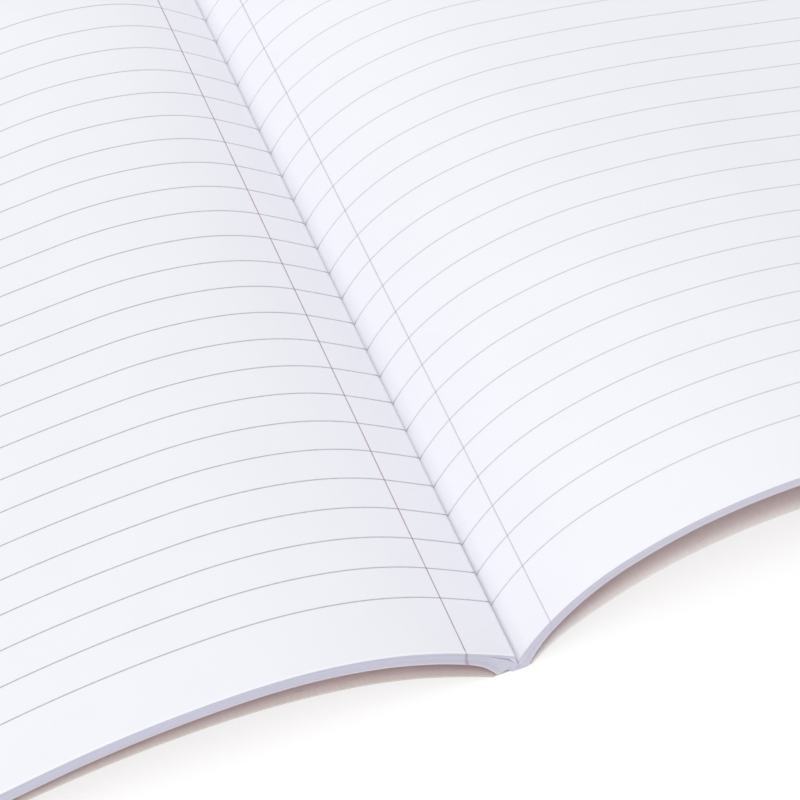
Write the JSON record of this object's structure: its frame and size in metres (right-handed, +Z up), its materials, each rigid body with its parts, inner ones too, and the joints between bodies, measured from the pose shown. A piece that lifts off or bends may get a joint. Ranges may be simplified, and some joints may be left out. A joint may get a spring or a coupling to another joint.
{
  "type": "open composition notebook",
  "caption": "Open ruled notebook lying on its spine, leaves arched on both sides of the gutter over thin card covers that swing on the cloth spine.",
  "frame": {"origin": "centre of the flat underside of the spine cloth, which lies on the table", "axes": "+Y along the spine from the tail to the head, +X towards the back cover's fore-edge, +Z up off the table"},
  "size_m": [0.3831, 0.2476, 0.036],
  "materials": {
    "ruled_paper": "uncoated white writing paper with ruled lines and a margin line",
    "cover_card": "thin matt pale card",
    "book_cloth": "pale woven book cloth",
    "thread": "white twisted cotton"
  },
  "bodies": {
    "leaves": {"page_block": "ruled_paper", "spine_tape": "book_cloth", "sewing_thread": "thread"},
    "front": {"front_cover": "cover_card", "spine_tape_front_wing": "book_cloth"},
    "back": {"back_cover": "cover_card", "spine_tape_back_wing": "book_cloth"}
  },
  "joints": [
    {"name": "front_cover_hinge", "type": "hinge", "parent": "leaves", "child": "front", "pos_m": [-0.0044, 0, 0.00013], "axis": [0, -1, 0], "range_deg": [0, 85]},
    {"name": "back_cover_hinge", "type": "hinge", "parent": "leaves", "child": "back", "pos_m": [0.0044, 0, 0.00013], "axis": [0, 1, 0], "range_deg": [0, 85]}
  ]
}
